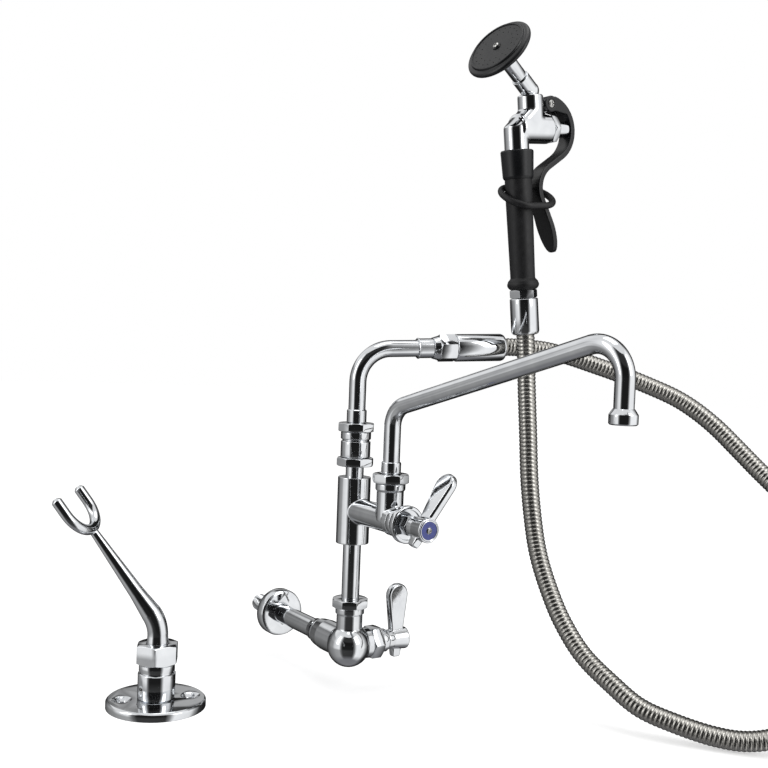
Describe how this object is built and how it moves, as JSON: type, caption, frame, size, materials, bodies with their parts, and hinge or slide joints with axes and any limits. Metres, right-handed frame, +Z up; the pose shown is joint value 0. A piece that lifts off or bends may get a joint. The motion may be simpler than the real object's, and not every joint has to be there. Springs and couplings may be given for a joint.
{
  "type": "wall-mounted commercial faucet with add-on swing spout and hose-fed spray gun",
  "caption": "Chrome wall-mounted commercial faucet with a lever valve, an add-on faucet with a swing spout, a steel hose, a black-gripped spray gun and a separate fork holder",
  "frame": {"origin": "centre of the supply pipe where it leaves the wall's face", "axes": "+X along the wall to the right, -Y out of the wall, +Z up"},
  "size_m": [0.7817, 0.6234, 0.7437],
  "materials": {
    "polished_chrome": "polished",
    "stainless_hose": "satin",
    "raw_brass": "satin",
    "stainless_screw": "satin",
    "black_rubber": "matte",
    "black_plastic": "satin",
    "grey_plastic": "matte",
    "blue_disc": "gloss"
  },
  "bodies": {
    "fixed_column": {"supply_pipe": "polished_chrome", "wall_flange": "polished_chrome", "inlet_coupling": "polished_chrome", "valve_body": "polished_chrome", "lower_bonnet": "polished_chrome", "lower_lock_ring": "polished_chrome", "lower_cartridge": "raw_brass", "riser_nut": "polished_chrome", "riser_pipe": "polished_chrome", "tee_body": "polished_chrome", "branch_bonnet": "polished_chrome", "packing_nut": "polished_chrome", "upper_cartridge": "raw_brass", "spout_nut": "polished_chrome", "spout_seal": "black_rubber", "column_nipple": "polished_chrome", "column_nut": "polished_chrome", "swivel_body": "polished_chrome", "neck_seal": "black_rubber", "neck_nut": "polished_chrome", "holder_flange": "polished_chrome", "holder_collar": "polished_chrome", "holder_set_screw": "stainless_screw", "holder_nut": "polished_chrome"},
    "lower_valve": {"lower_stem": "raw_brass", "lower_lever": "polished_chrome", "lower_index": "blue_disc", "lower_lever_screw": "stainless_screw"},
    "upper_valve": {"upper_stem": "raw_brass", "upper_lever": "polished_chrome", "upper_index": "blue_disc", "upper_lever_screw": "stainless_screw"},
    "swing_spout": {"spout_tube": "polished_chrome", "spout_ferrule": "polished_chrome", "outlet_collar": "polished_chrome", "flow_straightener": "grey_plastic"},
    "neck_and_hose": {"neck_tube": "polished_chrome", "neck_ferrules": "polished_chrome", "hose_adaptor": "polished_chrome", "hose_nut": "polished_chrome", "hose_sleeve": "polished_chrome", "hose": "stainless_hose", "gun_sleeve": "polished_chrome"},
    "gun": {"gun_nut": "polished_chrome", "grip": "black_rubber", "grip_collar": "black_plastic", "gun_body": "polished_chrome", "plunger_bonnet": "polished_chrome", "plunger_spring": "stainless_screw", "nozzle_elbow": "polished_chrome", "nozzle_neck": "polished_chrome", "spray_head": "black_plastic", "spray_face": "black_plastic", "face_screw": "stainless_screw", "trigger_pin": "stainless_screw"},
    "trigger_lever": {"trigger": "black_plastic"},
    "plunger_slide": {"plunger": "polished_chrome"},
    "sliding_ring": {"hold_ring": "black_rubber"},
    "fork_arm": {"fork": "polished_chrome"}
  },
  "joints": [
    {"name": "lower_valve_turn", "type": "hinge", "parent": "fixed_column", "child": "lower_valve", "pos_m": [0, -0.17, 0], "axis": [1, 0, 0], "range_deg": [0, 90]},
    {"name": "upper_valve_turn", "type": "hinge", "parent": "fixed_column", "child": "upper_valve", "pos_m": [0, -0.242, 0.1525], "axis": [0, -1, 0], "range_deg": [-57, 33]},
    {"name": "spout_swing", "type": "hinge", "parent": "fixed_column", "child": "swing_spout", "pos_m": [0, -0.242, 0.19], "axis": [0, 0, 1], "range_deg": [-50, 60]},
    {"name": "neck_swing", "type": "hinge", "parent": "fixed_column", "child": "neck_and_hose", "pos_m": [0, -0.17, 0.24], "axis": [0, 0, 1], "range_deg": [-10, 20]},
    {"name": "gun_turn", "type": "hinge", "parent": "neck_and_hose", "child": "gun", "pos_m": [0.15929, -0.258, 0.39473], "axis": [-0.1149, 0, 0.9934], "range_deg": [-45, 45]},
    {"name": "trigger_squeeze", "type": "hinge", "parent": "gun", "child": "trigger_lever", "pos_m": [0.18, -0.258, 0.61155], "axis": [0, 1, 0], "range_deg": [0, 3.3], "stiffness_Nm_per_rad": 2, "springref_deg": -17.19},
    {"name": "plunger_press", "type": "slide", "parent": "gun", "child": "plunger_slide", "axis": [-0.9934, 0, -0.1149], "range_m": [0, 0.00156]},
    {"name": "ring_slide", "type": "slide", "parent": "gun", "child": "sliding_ring", "axis": [-0.1149, 0, 0.9934], "range_m": [-0.002, 0.005]},
    {"name": "fork_turn", "type": "hinge", "parent": "fixed_column", "child": "fork_arm", "pos_m": [-0.3107, -0.3784, 0.08], "axis": [0, 0, 1], "continuous": true}
  ],
  "couplings": [
    {"joint": "plunger_press", "follows": "trigger_squeeze", "m_per_rad": 0.027}
  ]
}
